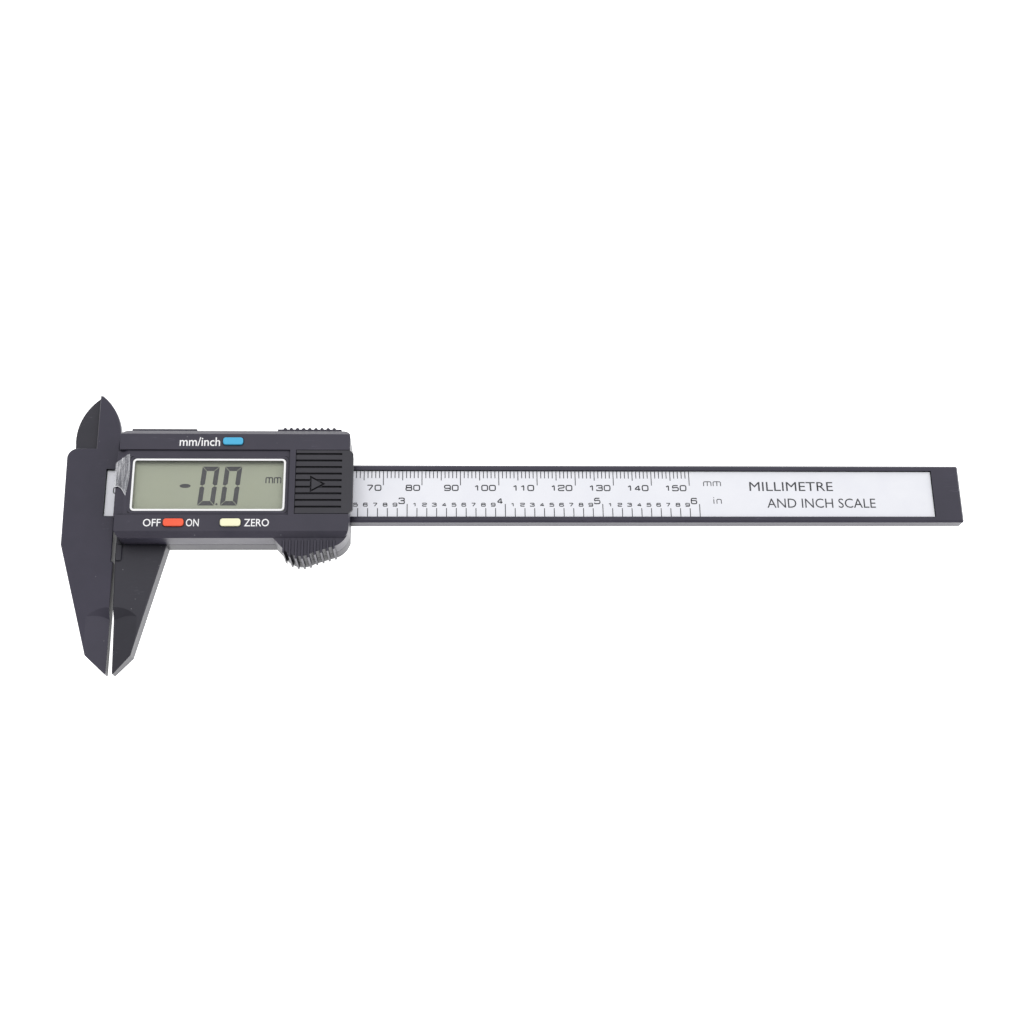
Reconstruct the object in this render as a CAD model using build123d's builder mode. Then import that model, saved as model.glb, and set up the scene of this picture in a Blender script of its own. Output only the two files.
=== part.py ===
"""Digital caliper for 0 to 150 mm, with a moulded plastic beam, jaws and slider.

It lies on its back with the display up. X runs along the beam, +Y towards the inside
blades and +Z out of the display. The origin is the middle of the bottom of the whole
caliper, closed. Sketches are drawn on level(z), a horizontal plane whose own origin lies
where the jaws' measuring plane crosses the centreline of the beam.
"""
from build123d import *
import math
import os

os.makedirs("parts", exist_ok=True)

# ---------------------------------------------------------------- driving dimensions, mm
travel = 150.0              # measuring range
overrun = 3.0               # spare beam past the open slider
end_block = 7.4             # solid end of the beam, past the scale

beam_width = 15.75
beam_thickness = 3.4
beam_corner = 0.5           # plan radius at the beam's end
beam_chamfer = 0.45
scale_width = 12.8          # width of the recess for the scale
scale_start = -3.6          # left end of the scale recess, from the measuring plane
scale_recess = 1.0          # depth of the recess below the rails
board_strip = 0.4           # thickness of the sensor strip
label_thickness = 0.1
label_gap = 0.12            # label to the walls of its recess

jaw_reach = 46.9            # jaw tips, from the beam's centreline
jaw_thickness = 4.4
jaw_back = 0.6              # height of the jaws' back above the table
jaw_shoulder = 14.0         # where a jaw starts to taper, below the centreline
jaw_tip_slant = 4.3         # height of the slanted tip
jaw_land = 0.4              # flat at the very tip
jaw_edge_start = 18.5       # where the measuring edge starts, below the centreline
fixed_shoulder = 13.5       # outer edge of the fixed jaw at its shoulder, from the plane
fixed_corner = 5.25         # and at its tip
fixed_edge = 0.15           # measuring edge of the fixed jaw, from the plane
fixed_relief = 0.6          # the fixed jaw stands back by this above its edge
moving_shoulder = 13.05     # outer edge of the moving jaw at its shoulder, from the plane
moving_corner = 5.9         # and at its tip
moving_root = 0.35          # measuring edge of the closed moving jaw, at its start
moving_tip = 1.35           # and at its tip
scoop_width = 5.5           # bevelled part beside each measuring edge
scoop_start = 30.4          # where the bevels start, below the centreline
scoop_crown = 2.4           # rise of their arched top
scoop_depth = 1.75          # depth of each bevel at the measuring edge
scoop_slope = 58            # slope of the arched end from upright, in degrees
tab_width = 1.7             # raised tab at the root of the moving jaw
tab_height = 0.4
edge_break = 0.2            # small chamfer round the jaws and the plate

plate_top = 12.1            # top edge of the fixed plate, above the centreline
plate_left = 13.95          # upper left corner of the plate, from the plane
plate_corner = 2.6
plate_edge = 0.6            # the plate's right edge stands back from the measuring plane
blade_reach = 26.9          # inside blade tips, above the centreline
blade_line = 6.6            # the blades' common measuring line, left of the plane
blade_width = 5.9
blade_thickness = 2.1
blade_gap = 0.25            # between the front and the rear blade
blade_tip = 0.6             # flat at a blade's tip
blade_bow = 0.65            # share of its full width that a blade has a quarter of the way down
blade_straight = 1.5        # straight foot of a blade above the plate

back_wall = 1.1
slide_gap = 0.08            # beam to its channel, each side
cover_gap = 0.42            # beam front to the underside of the cover
arm_gap = 0.3               # rear blade's arm to the beam
slider_left = 0.9           # left end of the slider, from the measuring plane
slider_corner = 2.0
wall = 1.2
face_thickness = 1.6
face_chamfer = 1.4
seam = 0.15                 # groove round the parting line of the shells
nose = 0.6                  # the middle of the cover's left end stands out by this
nose_slope = 2.0            # the panel slopes down towards it over this length
nose_drop = 1.0
back_chamfer = 0.4

display_margin = 3.6        # slider's left end to the window
window_length = 38.4
window_height = 13.95
window_border = 0.7         # lens beyond the opening, each side
window_centre = -0.175
lens_thickness = 0.8
panel_recess = 0.4
panel_above = 2.4           # recessed panel beyond the window, above, below and to the right
panel_below = 1.2
panel_right_margin = 1.0
bay_gap = 2.5               # window to the battery cover
glass_thickness = 0.7
glass_overlap = 1.1         # front glass beyond the window, each side
rear_glass_inset = 1.7      # rear glass inside the front glass, above and below
reflector_thickness = 0.15
film_thickness = 0.05

button_length = 5.1
button_height = 2.0
button_corner = 0.7
button_proud = 0.5
button_travel = 0.4
button_flange = 0.45        # flange beyond the cap, each side
flange_thickness = 0.6
button_gap = 0.1            # cap to its hole, each side
row_above = 4.6             # top row of buttons above the window
row_below = 3.3             # bottom row below the window
rim_above = 3.5             # top row to the top edge of the slider
rim_below = 3.6             # bottom row to the bottom edge
power_from_left = 14.7      # power button, from the slider's left end
zero_from_left = 28.8       # zero button, from the slider's left end
unit_from_left = 28.5       # unit button, from the slider's left end
stem_diameter = 1.6
dome_diameter = 4.0
dome_height = 0.3
dome_wall = 0.1
key_gap = 0.1               # stem to its dome, pressed

board_thickness = 1.0
board_gap = 0.25            # board to the walls of the cover
zebra_width = 1.4

cell_diameter = 11.6
cell_height = 5.4
cell_rim = 0.65             # height of the cell's narrower cap
cell_cap_inset = 0.6        # cap inside the can, all round
cell_gap = 0.15             # cell to its well
cell_offset = 0.55          # cell above the centreline
well_wall = 1.0
well_floor = 0.3
contact_thickness = 0.15
contact_width = 2.4
contact_offset = 3.0        # contacts to either side of the cell's middle
contact_foot = 2.5          # length of a contact on the board
contact_rise = 3.5          # height of the positive contact's leaf above the board
blob_radius = 4.2           # potted chip
blob_height = 1.0
blob_offset = 8.4           # chip to the left of the window's middle
can_diameter = 2.0          # crystal
can_length = 6.0
can_offset = 6.0            # crystal to the right of the window's middle
capacitor_length = 1.6
capacitor_width = 0.8
capacitor_height = 0.7
capacitor_pitch = 2.4
capacitor_count = 4
capacitor_offset = (3.0, 4.0)   # their middle, from the window's middle
cover_cell_gap = 0.1        # cell to the battery cover
door_thickness = 0.7
door_width = 17.0
door_gap = 0.15
door_play = 0.04            # under and over the tongues
door_margin = 0.3           # the door reaches past the well by this
door_lip = 0.9              # the door's end stands out past the slider
door_lip_height = 2.2
door_lip_chamfer = 1.6
tongue = 0.5                # the door's tongues run in slots under the face
tongue_thickness = 0.35
groove_count = 9
groove_pitch = 1.78
groove_width = 0.55
groove_depth = 0.42
groove_start = 0.0          # grooves to the door's left end
groove_end = 1.95           # and to its right end
groove_offset = 0.35        # middle groove above the door's middle
arrow_radius = 1.8          # of the three corners of the arrow
arrow_rim = 0.4             # width of the moat round it
arrow_middle = 0.37         # place of the arrow along the door, as a share of its length
arrow_drop = 1.0            # arrow below the middle groove

grip_length = 18.8          # thumb grip, back from the slider's right end
grip_depth = 4.75           # how far it stands out
grip_peak = 6.5             # its lowest point, from its left end
grip_slope_end = (2.65, 2.9)    # end of the left slope, right of and below the left end
grip_rise_start = (3.3, 0.9)    # start of the rise, right of and above the lowest point
grip_rise_end = (3.0, 1.95)     # its end, left of and below the slider's corner
grip_corner_inset = 0.8     # middle of the corner's arc, left of the slider's end
rib_count = 9
rib_pitch = 1.57
rib_width = 0.45
rib_proud = 0.8
rib_rise = 0.3              # ribs above the grip's front
rib_foot = 1.5              # lowest point of the ribs
rib_margin = 0.6            # ribs start this far below the slider's edge
pad_proud = 0.75            # raised pads on the slider's top edge
pad_length = 16.4
pad_inset = 2.4             # pads to the slider's ends
pad_low = 6.5
pad_high = 9.6
pad_rib_diameter = 0.9

rod_width = 3.0
rod_thickness = 1.2
rod_lift = 0.52             # beam back to the rod's hole in the end block
rod_gap = 0.05
rod_start = 46.0            # inner end of the depth rod, closed
rod_boss_length = 5.0
rod_screw_offset = 3.0      # its screw, from the rod's inner end

gib_length = 34.0
gib_height = 2.6
gib_thickness = 0.2
gib_pocket = 0.5

screw_diameter = 1.6
screw_head = 3.0
screw_head_height = 1.0
screw_sink = 0.3            # heads below the back
screw_gap = 0.05            # screws to their holes, all round
boss_wall = 1.0
screw_tip_gap = 1.0         # end of a screw below the top of its boss
screw_left = 4.9            # housing screws, from the slider's left end
screw_right = 4.0           # and from its right end
board_screw_diameter = 1.2
board_screw_head = 2.4
board_screw_head_height = 0.6
board_screw_upper = 3.8     # boss of the upper board screw to the unit button's flange
board_screw_lower = 5.0     # lower one, left of the window's right end
slot_width = 0.5            # drive slot in the screw heads
slot_depth = 0.4
slot_share = 0.8            # length of the slot over the head's diameter

# ---------------------------------------------------------------- worked out from these
beam_half = beam_width / 2
beam_bottom = back_wall + slide_gap
beam_front = beam_bottom + beam_thickness
parting = beam_front + cover_gap
jaw_front = jaw_back + jaw_thickness
recess_floor = beam_front - scale_recess
rod_bottom = beam_bottom + rod_lift + rod_gap
channel_half = beam_half + slide_gap
plate_lean = (plate_left - fixed_shoulder) / (plate_top + jaw_shoulder)
plate_side = fixed_shoulder + plate_lean * (beam_half + jaw_shoulder)   # at the beam's edge
plate_reach = fixed_shoulder + plate_lean * (plate_top - plate_corner + jaw_shoulder)

window_left = slider_left + display_margin
window_right = window_left + window_length
window_x = window_left + window_length / 2
window_top = window_centre + window_height / 2
window_bottom = window_centre - window_height / 2
top_row = window_top + row_above
bottom_row = window_bottom - row_below
slider_top = top_row + rim_above
slider_bottom = bottom_row - rim_below
slider_height = slider_top - slider_bottom
slider_middle = (slider_top + slider_bottom) / 2

door_left = window_right + bay_gap
well_radius = cell_diameter / 2 + cell_gap
cell_x = door_left + door_margin + well_radius
door_length = 2 * (well_radius + door_margin) + wall
slider_right = door_left + door_length
slider_length = slider_right - slider_left
slider_x = (slider_left + slider_right) / 2
beam_end = slider_right + travel + overrun + end_block
scale_end = beam_end - end_block

cell_bottom = parting + well_floor + contact_thickness
door_bottom = cell_bottom + cell_height + cover_cell_gap
face = door_bottom + door_thickness
face_under = face - face_thickness
panel = face - panel_recess
grip_top = face - face_chamfer
lens_bottom = panel - lens_thickness
board_top = parting + board_thickness
board_left = slider_left + wall + board_gap
board_right = door_left + door_margin - well_wall - board_gap
zebra_offset = window_height / 2 + glass_overlap - rear_glass_inset / 2
screw_top = face_under - screw_tip_gap
panel_left = slider_left + nose_slope
panel_right = window_right + panel_right_margin
panel_bottom = window_bottom - panel_below
panel_top = window_top + panel_above
rod_screw_x = rod_start + rod_screw_offset
leaf_top = board_top + contact_rise
upper_rail = (beam_half + slider_top) / 2
lower_rail = (slider_bottom - beam_half) / 2

measure_x = (max(fixed_shoulder, plate_reach) - beam_end) / 2
beam_y = (jaw_reach - blade_reach) / 2

screw_spots = [
    (slider_left + screw_left, upper_rail),
    (slider_left + screw_left, lower_rail),
    (slider_right - screw_right, upper_rail),
    (slider_right - screw_right, lower_rail),
]
board_screw_spots = [
    (
        slider_left + unit_from_left - button_length / 2 - button_flange
        - board_screw_upper - boss_wall - board_screw_diameter / 2,
        upper_rail,
    ),
    (window_right - board_screw_lower, lower_rail),
]
button_spots = {
    "power": (slider_left + power_from_left, bottom_row),
    "zero": (slider_left + zero_from_left, bottom_row),
    "unit": (slider_left + unit_from_left, top_row),
}


def level(z):
    """Horizontal plane at height z, its origin where measuring plane and centreline cross."""
    return Plane(origin=(measure_x, beam_y, z))


def standing(x, y, z):
    """Upright plane through a point, facing the lower side: its x is along the beam, y is height."""
    return Plane(origin=(measure_x + x, beam_y + y, z), x_dir=(1, 0, 0), z_dir=(0, -1, 0))


def box_sketch(left, right, bottom, top):
    """A rectangle by its four sides, added to the sketch that is open."""
    with Locations(((left + right) / 2, (bottom + top) / 2)):
        Rectangle(right - left, top - bottom)


def jaw_outline(side, top, relief, root, tip, head, shoulder, corner):
    """Jaw seen from the front: side is -1 for the left jaw and 1 for the right one.

    Its inner side stands at relief down from the top where it joins its body, then at
    root and at tip along the measuring edge. Its outer side stands at head, at shoulder
    and at corner. All six are distances from the measuring plane.
    """
    with BuildSketch() as plan:
        with BuildLine():
            Polyline(
                (side * root, -jaw_edge_start),
                (side * tip, -jaw_reach),
                (side * (tip + jaw_land), -jaw_reach),
                (side * corner, jaw_tip_slant - jaw_reach),
                (side * shoulder, -jaw_shoulder),
                (side * head, top),
                (side * relief, top),
                (side * relief, -jaw_edge_start),
                close=True,
            )
        make_face()
    return plan.sketch


def blade_outline(side, foot):
    """Inside blade: straight on the measuring line, bowed on the other side down to foot."""
    tip = (-blade_line + side * blade_tip, blade_reach)
    bow = (-blade_line + side * blade_width * blade_bow, (blade_reach * 3 + plate_top) / 4)
    far = (-blade_line + side * blade_width, plate_top + blade_straight)
    with BuildSketch() as plan:
        with BuildLine():
            Polyline((-blade_line, foot), (-blade_line, blade_reach), tip)
            ThreePointArc(tip, bow, far)
            Polyline(far, (far[0], foot), (-blade_line, foot))
        make_face()
    return plan.sketch


def slider_outline():
    """Plan of the slider without its grip, corners rounded."""
    with BuildSketch() as plan:
        with Locations((slider_x, slider_middle)):
            RectangleRounded(slider_length, slider_height, slider_corner)
    return plan.sketch


def grip_outline():
    """Plan of the thumb grip at the slider's lower right, from inside the slider's edge.

    Its lower edge slopes down, rounds its lowest point, rises again and rounds the corner.
    """
    low = slider_bottom - grip_depth
    inside = slider_bottom + wall
    corner_top = slider_bottom + slider_corner + 0.1
    left_root = (slider_right - grip_length, slider_bottom)
    slope_end = (left_root[0] + grip_slope_end[0], slider_bottom - grip_slope_end[1])
    peak = (left_root[0] + grip_peak, low)
    rise_start = (peak[0] + grip_rise_start[0], low + grip_rise_start[1])
    rise_end = (slider_right - grip_rise_end[0], slider_bottom - grip_rise_end[1])
    corner_middle = (slider_right - grip_corner_inset, slider_bottom)
    with BuildSketch() as plan:
        with BuildLine():
            Polyline((left_root[0], inside), left_root, slope_end)
            ThreePointArc(slope_end, peak, rise_start)
            Line(rise_start, rise_end)
            ThreePointArc(rise_end, corner_middle, (slider_right, corner_top))
            Polyline(
                (slider_right, corner_top), (slider_right - wall, corner_top),
                (slider_right - wall, inside), (left_root[0], inside),
            )
        make_face()
    return plan.sketch


def grip_ribs():
    """Footprints of the grip's ribs: the grip's plan grown outwards, kept in narrow bands."""
    first = slider_right - grip_length + grip_slope_end[0]
    with BuildSketch() as grown:
        add(grip_outline())
        offset(amount=rib_proud)
    with BuildSketch() as bands:
        with Locations((first + rib_pitch * (rib_count - 1) / 2, slider_bottom - grip_depth)):
            with GridLocations(rib_pitch, 1, rib_count, 1):
                Rectangle(rib_width, 2 * (grip_depth - rib_margin))
    return grown.sketch & bands.sketch


def scoop(z, side, middle):
    """Cutter that bevels the jaw tips from height z, downwards for side -1, up for side 1.

    It is a flat V, deepest on x = middle, ended by an arch whose wall slopes down to it.
    Both run on past the V's edges, so that only the V and the arch's top leave a mark.
    """
    arch_radius = (scoop_width**2 + scoop_crown**2) / (2 * scoop_crown)
    beyond = scoop_width + 1
    foot = math.sqrt(arch_radius**2 - beyond**2) - arch_radius - scoop_start
    below = -2 * jaw_reach
    with BuildPart() as cutter:
        with BuildSketch(level(z)):
            with BuildLine():
                ThreePointArc((middle - beyond, foot), (middle, -scoop_start), (middle + beyond, foot))
                Polyline(
                    (middle + beyond, foot), (middle + beyond, below),
                    (middle - beyond, below), (middle - beyond, foot),
                )
            make_face()
        extrude(amount=side * scoop_depth, taper=scoop_slope)
        rise = scoop_depth / scoop_width
        with BuildSketch(standing(middle, below, z)):
            with BuildLine():
                Polyline(
                    (-beyond, -side * rise), (0, side * scoop_depth), (beyond, -side * rise),
                    close=True,
                )
            make_face()
        extrude(amount=below, mode=Mode.INTERSECT)
    return cutter.part


def slab(left, right, bottom, top, low, high, mode=Mode.ADD):
    """A block by its six sides, in the plan's own frame."""
    with BuildSketch(level(low)) as plan:
        box_sketch(left, right, bottom, top)
    extrude(plan.sketch, amount=high - low, mode=mode)


def discs(spots, diameter, low, high, mode=Mode.ADD):
    """Upright cylinders of one diameter at each spot, from low to high."""
    with BuildSketch(level(low)) as plan:
        with Locations(*spots):
            Circle(diameter / 2)
    extrude(plan.sketch, amount=high - low, mode=mode)


def save(piece, name):
    """Label a finished piece and write it."""
    piece.part.label = name
    export_step(piece.part, f"parts/{name}.step")


# ---------------------------------------------------------------- beam side
with BuildPart() as beam:
    with BuildSketch(level(beam_bottom)) as bar:
        box_sketch(-fixed_shoulder / 2, beam_end, -beam_half, beam_half)
        fillet(bar.vertices().group_by(Axis.X)[-1], beam_corner)
    extrude(amount=beam_thickness)
    chamfer(beam.edges().filter_by(Axis.X).group_by(Axis.Z)[-1], beam_chamfer)
    # fixed outside jaw
    with BuildSketch(level(jaw_back)):
        add(jaw_outline(
            -1, beam_half, fixed_relief, fixed_edge, fixed_edge,
            plate_side, fixed_shoulder, fixed_corner,
        ))
    extrude(amount=jaw_thickness)
    # front plate with the fixed inside blade
    with BuildSketch(level(jaw_front - blade_thickness)) as plate:
        with BuildLine():
            Polyline(
                (-fixed_shoulder, -jaw_shoulder),
                (-plate_left, plate_top),
                (-plate_edge, plate_top),
                (-plate_edge, -jaw_shoulder),
                close=True,
            )
        make_face()
        fillet(plate.vertices().group_by(Axis.Y)[-1].sort_by(Axis.X)[0], plate_corner)
        add(blade_outline(1, plate_top / 2))
    extrude(amount=blade_thickness)
    chamfer(beam.faces().sort_by(Axis.Z)[-1].outer_wire().edges(), edge_break)
    add(scoop(jaw_front, -1, -fixed_edge), mode=Mode.SUBTRACT)
    add(scoop(jaw_back, 1, -fixed_edge), mode=Mode.SUBTRACT)
    # recess for the scale, open into the plate
    slab(
        scale_start, scale_end, -scale_width / 2, scale_width / 2,
        recess_floor, jaw_front + 1, Mode.SUBTRACT,
    )
    # groove for the depth rod, which ends in a closed hole through the end block
    slab(
        rod_start - 1, scale_end, -rod_width / 2 - rod_gap, rod_width / 2 + rod_gap,
        beam_bottom - 1, rod_bottom + rod_thickness + rod_gap, Mode.SUBTRACT,
    )
    slab(
        scale_end - 1, beam_end + 1, -rod_width / 2 - rod_gap, rod_width / 2 + rod_gap,
        rod_bottom - rod_gap, rod_bottom + rod_thickness + rod_gap, Mode.SUBTRACT,
    )
save(beam, "beam")

with BuildPart() as scale_board:
    slab(
        scale_start, scale_end, -scale_width / 2, scale_width / 2,
        recess_floor, recess_floor + board_strip,
    )
save(scale_board, "scale_board")

with BuildPart() as scale_label:
    slab(
        scale_start + label_gap, scale_end - label_gap,
        label_gap - scale_width / 2, scale_width / 2 - label_gap,
        recess_floor + board_strip, recess_floor + board_strip + label_thickness,
    )
save(scale_label, "scale_label")

# ---------------------------------------------------------------- slider, rear shell
with BuildPart() as moving_jaw:
    with BuildSketch(level(jaw_back)):
        add(jaw_outline(
            1, lower_rail, moving_root, moving_root, moving_tip,
            moving_shoulder, moving_shoulder, moving_corner,
        ))
    extrude(amount=jaw_thickness)
    chamfer(moving_jaw.faces().sort_by(Axis.Z)[-1].outer_wire().edges(), edge_break)
    add(scoop(jaw_front, -1, moving_tip), mode=Mode.SUBTRACT)
    add(scoop(jaw_back, 1, moving_tip), mode=Mode.SUBTRACT)

with BuildPart() as slider_frame:
    with BuildSketch(level(0)):
        add(slider_outline())
        add(grip_outline())
    extrude(amount=parting)
    chamfer(slider_frame.faces().sort_by(Axis.Z)[0].outer_wire().edges(), back_chamfer)
    with BuildSketch(level(parting - seam)):
        add(slider_outline())
        add(grip_outline())
        offset(amount=-seam, mode=Mode.SUBTRACT)
    extrude(amount=seam, mode=Mode.SUBTRACT)
    with BuildSketch(level(rib_foot)):
        add(grip_ribs())
    extrude(amount=parting - rib_foot)
    # moving outside jaw and the tab at its root
    add(moving_jaw.part)
    with BuildSketch(level(jaw_front)) as tab:
        box_sketch(moving_root, moving_root + tab_width, -jaw_edge_start, slider_bottom)
        fillet(tab.vertices().group_by(Axis.Y)[0], tab_width / 3)
    extrude(amount=tab_height, taper=scoop_slope / 2)
    # moving inside blade, on an arm that passes behind the fixed plate
    with BuildSketch(level(jaw_back)):
        box_sketch(-blade_line - blade_width, slider_left + wall, beam_half + arm_gap, plate_top)
        add(blade_outline(-1, beam_half + arm_gap))
    extrude(amount=jaw_thickness - blade_thickness - blade_gap)
    # channel for the beam, with a pocket for the gib in its upper side
    slab(0, slider_right + 1, -channel_half, channel_half, back_wall, parting + 1, Mode.SUBTRACT)
    slab(
        slider_x - gib_length / 2, slider_x + gib_length / 2, 0, channel_half + gib_pocket,
        back_wall, beam_front, Mode.SUBTRACT,
    )
    # seat of the depth rod
    slab(
        rod_screw_x - rod_boss_length / 2, rod_screw_x + rod_boss_length / 2,
        -rod_width / 2 + rod_gap, rod_width / 2 - rod_gap, back_wall, rod_bottom,
    )
    discs([(rod_screw_x, 0)], board_screw_diameter + 2 * screw_gap, 0, rod_bottom, Mode.SUBTRACT)
    discs(
        [(rod_screw_x, 0)], board_screw_head + 2 * screw_gap,
        0, screw_sink + board_screw_head_height, Mode.SUBTRACT,
    )
    # screws that hold the shells together, and room for the heads under the board
    discs(screw_spots, screw_diameter + 2 * screw_gap, 0, parting, Mode.SUBTRACT)
    discs(
        screw_spots, screw_head + 2 * screw_gap, 0, screw_sink + screw_head_height, Mode.SUBTRACT,
    )
    discs(
        board_screw_spots, board_screw_head + 2 * screw_gap,
        parting - board_screw_head_height - screw_gap, parting, Mode.SUBTRACT,
    )
save(slider_frame, "slider_frame")

# ---------------------------------------------------------------- slider, front shell
end_view = Plane(
    origin=(measure_x + slider_left, beam_y, 0), x_dir=(0, 1, 0), z_dir=(1, 0, 0)
)
door_low = cell_offset - door_width / 2
door_high = cell_offset + door_width / 2
pads = [
    (slider_left + pad_inset, slider_left + pad_inset + pad_length),
    (slider_right - pad_inset - pad_length, slider_right - pad_inset),
]

with BuildPart() as front_cover:
    with BuildSketch(end_view):
        with BuildLine():
            Polyline(
                (slider_bottom, parting),
                (slider_bottom, face - face_chamfer),
                (slider_bottom + face_chamfer, face),
                (slider_top - face_chamfer, face),
                (slider_top, face - face_chamfer),
                (slider_top, parting),
                close=True,
            )
        make_face()
    extrude(amount=slider_length)
    with BuildSketch(level(parting)):
        add(slider_outline())
    extrude(amount=face - parting, mode=Mode.INTERSECT)
    # raised nose at the left end, then the recessed panel that slopes down over it
    slab(
        slider_left - nose, slider_left + wall, panel_bottom, panel_top, parting, panel,
    )
    slab(panel_left, panel_right, panel_bottom, panel_top, panel, face + 1, Mode.SUBTRACT)
    with BuildSketch(standing(0, panel_bottom, 0)):
        with BuildLine():
            Polyline(
                (slider_left - 2 * nose, face + 1),
                (slider_left - 2 * nose, panel - nose_drop),
                (slider_left - nose, panel - nose_drop),
                (panel_left, panel),
                (panel_left, face + 1),
                close=True,
            )
        make_face()
    extrude(amount=panel_bottom - panel_top, mode=Mode.SUBTRACT)
    # hollow inside
    with BuildSketch(level(parting)):
        with Locations((slider_x, slider_middle)):
            RectangleRounded(slider_length - 2 * wall, slider_height - 2 * wall, slider_corner - wall)
    extrude(amount=face_under - parting, mode=Mode.SUBTRACT)
    # thumb grip and the pads on the top edge
    with BuildSketch(level(parting)):
        add(grip_outline())
    extrude(amount=grip_top - parting)
    with BuildSketch(level(parting)):
        add(grip_ribs())
    extrude(amount=grip_top + rib_rise - parting)
    for left, right in pads:
        slab(left, right, slider_top - wall, slider_top + pad_proud, pad_low, pad_high)
    with BuildSketch(level(pad_low)):
        with Locations((sum(pads[1]) / 2, slider_top + pad_proud)):
            with GridLocations(rib_pitch, 1, rib_count, 1):
                Circle(pad_rib_diameter / 2)
    extrude(amount=pad_high - pad_low)
    # bosses for the screws
    discs(
        screw_spots, screw_diameter + 2 * (screw_gap + boss_wall), parting, face_under,
    )
    discs(screw_spots, screw_diameter + 2 * screw_gap, parting, screw_top, Mode.SUBTRACT)
    discs(
        board_screw_spots, board_screw_diameter + 2 * (screw_gap + boss_wall),
        board_top, face_under,
    )
    discs(
        board_screw_spots, board_screw_diameter + 2 * screw_gap,
        board_top, screw_top, Mode.SUBTRACT,
    )
    # window, with a ledge that carries the lens
    with BuildSketch(level(face_under)):
        with Locations((window_x, window_centre)):
            Rectangle(window_length, window_height)
    extrude(amount=face_thickness, mode=Mode.SUBTRACT)
    with BuildSketch(level(lens_bottom)):
        with Locations((window_x, window_centre)):
            RectangleRounded(
                window_length + 2 * window_border, window_height + 2 * window_border, window_border,
            )
    extrude(amount=lens_thickness, mode=Mode.SUBTRACT)
    # holes for the buttons
    with BuildSketch(level(face_under)):
        with Locations(*button_spots.values()):
            RectangleRounded(
                button_length + 2 * button_gap, button_height + 2 * button_gap,
                button_corner + button_gap,
            )
    extrude(amount=face_thickness, mode=Mode.SUBTRACT)
    # battery well, the door's seat and the slots for its tongues
    discs([(cell_x, cell_offset)], 2 * (well_radius + well_wall), parting, face_under)
    discs([(cell_x, cell_offset)], 2 * well_radius, parting + well_floor, face, Mode.SUBTRACT)
    slab(
        door_left, slider_right + 1, door_low - door_gap, door_high + door_gap,
        door_bottom - door_play, face + 1, Mode.SUBTRACT,
    )
    slab(
        door_left, slider_right + 1, door_low - tongue - door_gap, door_high + tongue + door_gap,
        door_bottom - door_play, door_bottom + tongue_thickness + door_play, Mode.SUBTRACT,
    )
    # slots that let the contacts into the well
    foot_top = board_top + 2 * contact_thickness
    for offset_y, high in ((-contact_offset, foot_top), (contact_offset, leaf_top)):
        slab(
            board_right, cell_x,
            cell_offset + offset_y - contact_width / 2 - screw_gap,
            cell_offset + offset_y + contact_width / 2 + screw_gap,
            parting + well_floor, high + screw_gap, Mode.SUBTRACT,
        )
save(front_cover, "front_cover")

with BuildPart() as display_window:
    with BuildSketch(level(lens_bottom)):
        with Locations((window_x, window_centre)):
            RectangleRounded(
                window_length + 2 * window_border, window_height + 2 * window_border, window_border,
            )
    extrude(amount=lens_thickness)
save(display_window, "display_window")

with BuildPart() as protective_film:
    slab(panel_left, panel_right, panel_bottom, panel_top, panel, panel + film_thickness)
save(protective_film, "protective_film")

# ---------------------------------------------------------------- display
glass_left = window_left - glass_overlap
glass_right = window_right + glass_overlap
glass_bottom = window_bottom - glass_overlap
glass_top = window_top + glass_overlap
rear_glass_top = face_under - glass_thickness
reflector_top = rear_glass_top - glass_thickness

with BuildPart() as lcd_front_glass:
    slab(glass_left, glass_right, glass_bottom, glass_top, rear_glass_top, face_under)
save(lcd_front_glass, "lcd_front_glass")

with BuildPart() as lcd_rear_glass:
    slab(
        glass_left, glass_right, glass_bottom + rear_glass_inset, glass_top - rear_glass_inset,
        reflector_top, rear_glass_top,
    )
save(lcd_rear_glass, "lcd_rear_glass")

with BuildPart() as lcd_reflector:
    slab(
        glass_left, glass_right, glass_bottom + rear_glass_inset, glass_top - rear_glass_inset,
        reflector_top - reflector_thickness, reflector_top,
    )
save(lcd_reflector, "lcd_reflector")

with BuildPart() as zebra_strips:
    with BuildSketch(level(board_top)):
        with Locations((window_x, window_centre - zebra_offset), (window_x, window_centre + zebra_offset)):
            Rectangle(window_length, zebra_width)
    extrude(amount=rear_glass_top - board_top)
save(zebra_strips, "zebra_strips")

# ---------------------------------------------------------------- circuit board
with BuildPart() as circuit_board:
    with BuildSketch(level(parting)):
        with Locations(((board_left + board_right) / 2, slider_middle)):
            Rectangle(board_right - board_left, slider_height - 2 * (wall + board_gap))
        with Locations(*screw_spots[:2]):
            Circle(screw_diameter / 2 + screw_gap + boss_wall + board_gap, mode=Mode.SUBTRACT)
        with Locations(*board_screw_spots):
            Circle(board_screw_diameter / 2 + screw_gap, mode=Mode.SUBTRACT)
    extrude(amount=board_thickness)
save(circuit_board, "circuit_board")

with BuildPart() as chip_blob:
    discs(
        [(window_x - blob_offset, window_centre)], 2 * blob_radius,
        board_top, board_top + blob_height,
    )
    fillet(chip_blob.faces().sort_by(Axis.Z)[-1].edges(), blob_height * 0.9)    # nearly to the board
save(chip_blob, "chip_blob")

with BuildPart() as crystal:
    can_plane = Plane(
        origin=(
            measure_x + window_x + can_offset, beam_y + window_centre,
            board_top + can_diameter / 2,
        ),
        x_dir=(0, 1, 0), z_dir=(1, 0, 0),
    )
    with BuildSketch(can_plane):
        Circle(can_diameter / 2)
    extrude(amount=can_length)
save(crystal, "crystal")

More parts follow.
